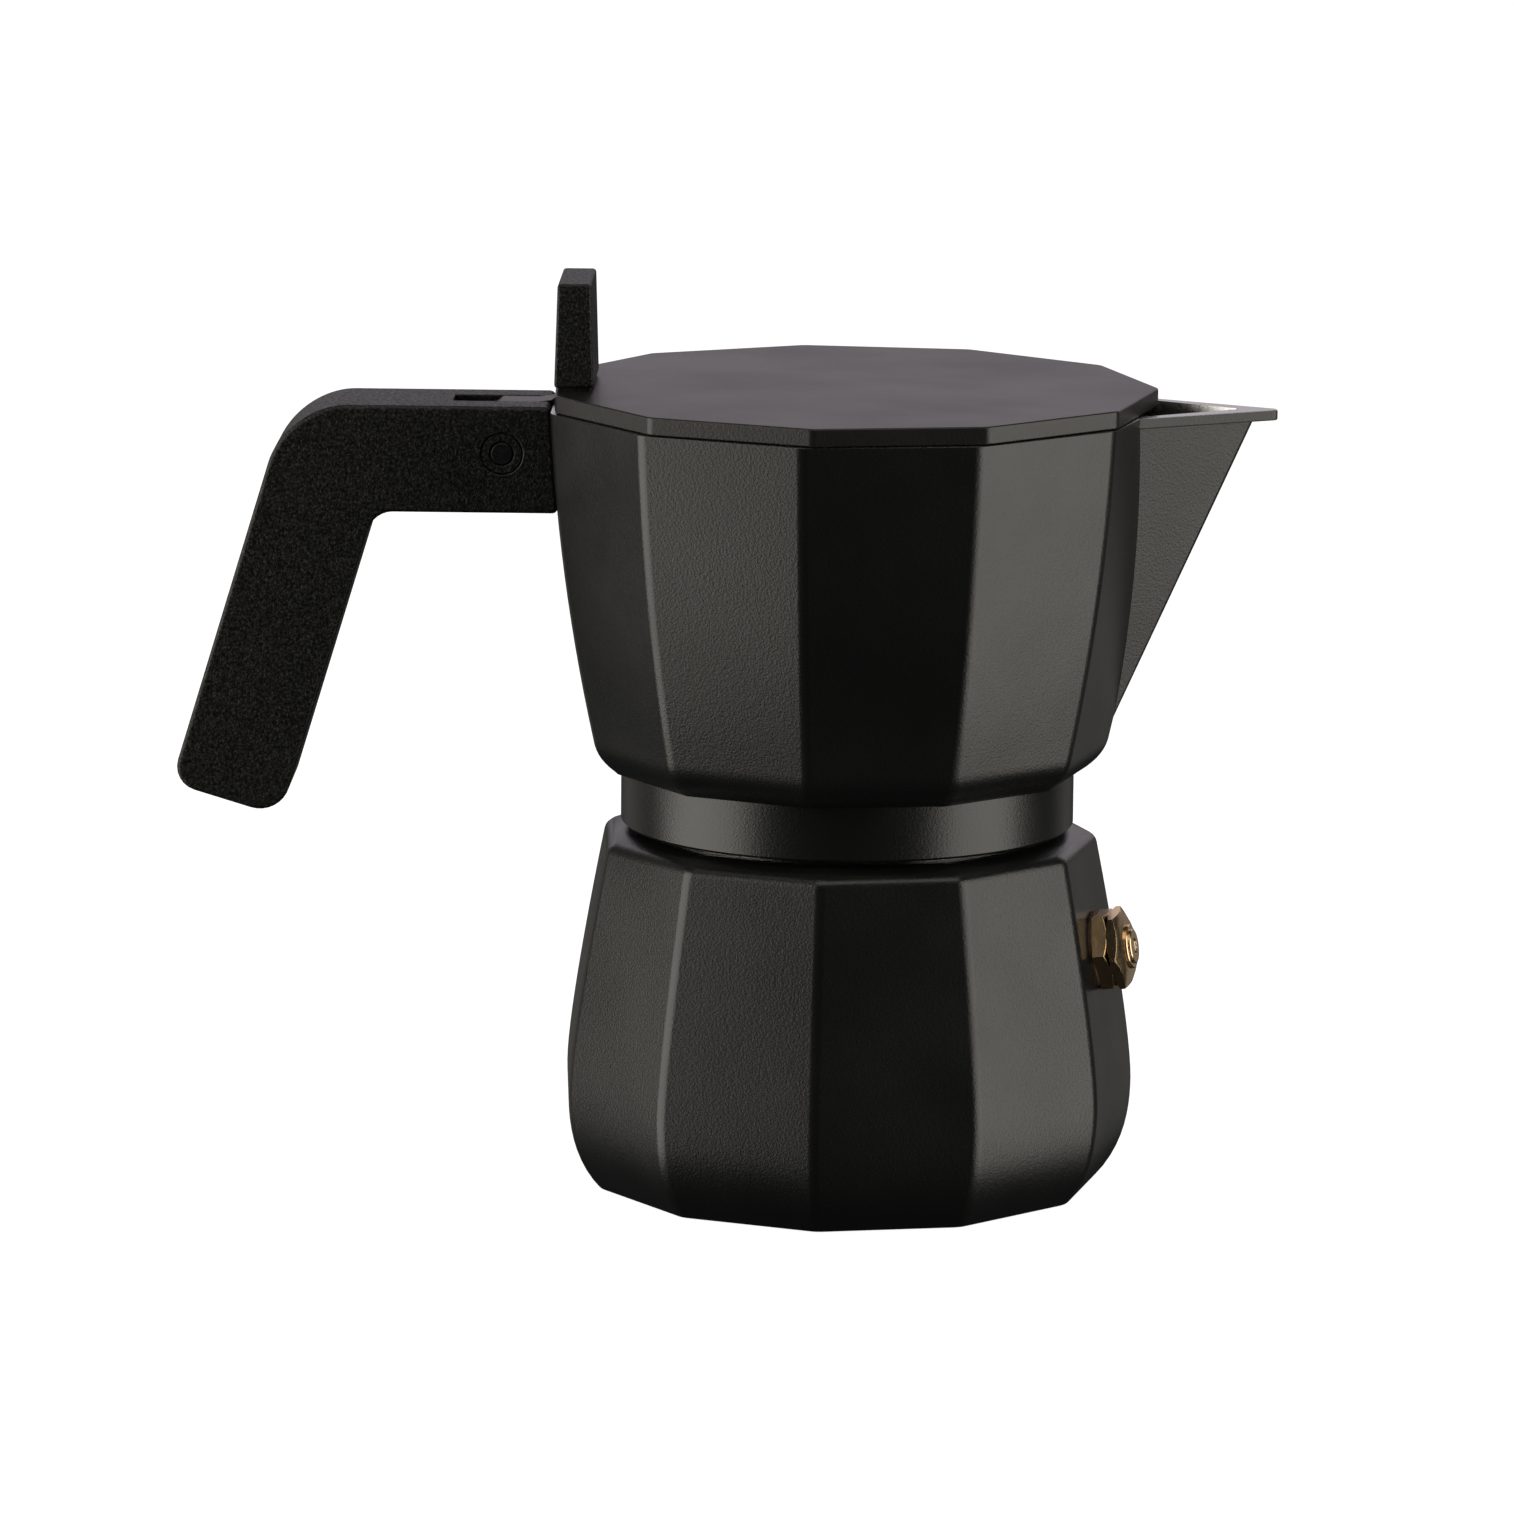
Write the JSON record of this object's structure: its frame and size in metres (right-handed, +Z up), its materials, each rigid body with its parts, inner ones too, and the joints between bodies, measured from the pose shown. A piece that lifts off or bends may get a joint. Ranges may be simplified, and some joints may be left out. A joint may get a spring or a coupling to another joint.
{
  "type": "moka pot",
  "caption": "Stove-top moka pot with faceted boiler, screw-on chamber, wedge spout, hinged lid, bent grip and brass safety valve.",
  "frame": {"origin": "centre of the boiler's flat base, on the surface that the pot stands on", "axes": "+Z up, +X towards the spout, -X towards the handle, Y across"},
  "size_m": [0.1781, 0.0996, 0.1485],
  "materials": {
    "painted_body": "satin",
    "painted_lid": "satin",
    "black_plastic": "fine texture",
    "brass": "polished",
    "steel": "fine",
    "pin_steel": "blackened",
    "bare_aluminium": "satin",
    "silicone": "matt",
    "red_rubber": "matt",
    "fibre": "matt"
  },
  "bodies": {
    "boiler_body": {"boiler": "painted_body", "valve_washer": "fibre", "valve_body": "brass", "valve_cap": "brass", "valve_spring": "steel"},
    "valve_plunger": {"valve_piston": "steel", "valve_seal": "red_rubber"},
    "funnel": {"funnel_basket": "bare_aluminium", "funnel_tube": "bare_aluminium", "funnel_plate": "bare_aluminium"},
    "seal_ring": {"gasket": "silicone"},
    "filter": {"filter_plate": "bare_aluminium"},
    "upper": {"upper_chamber": "painted_body", "riser_column": "bare_aluminium", "column_cap": "bare_aluminium", "handle": "black_plastic", "handle_bushes": "black_plastic", "hinge_pin": "pin_steel"},
    "lid_body": {"lid": "painted_lid", "lid_knob": "black_plastic", "knob_screw": "steel"}
  },
  "joints": [
    {"name": "valve_lift", "type": "slide", "parent": "boiler_body", "child": "valve_plunger", "axis": [0.9591, -0.2278, 0.1681], "range_m": [0, 0.0014], "stiffness_N_per_m": 2000, "springref_m": -0.0008, "deforming": ["valve_spring"]},
    {"name": "funnel_lift", "type": "slide", "parent": "boiler_body", "child": "funnel", "axis": [0, 0, 1], "range_m": [0, 0.08]},
    {"name": "upper_lift", "type": "slide", "parent": "funnel", "child": "seal_ring", "axis": [0, 0, 1], "range_m": [0, 0.06]},
    {"name": "thread_rise", "type": "slide", "parent": "seal_ring", "child": "filter", "axis": [0, 0, 1], "range_m": [0, 0.0045]},
    {"name": "unscrew", "type": "hinge", "parent": "filter", "child": "upper", "pos_m": [0, 0, 0.0695], "axis": [0, 0, 1], "range_deg": [0, 540]},
    {"name": "lid_hinge", "type": "hinge", "parent": "upper", "child": "lid_body", "pos_m": [-0.0562, 0, 0.1207], "axis": [0, -1, 0], "range_deg": [0, 90]}
  ],
  "couplings": [
    {"joint": "thread_rise", "follows": "unscrew", "m_per_rad": 0.00047746}
  ]
}
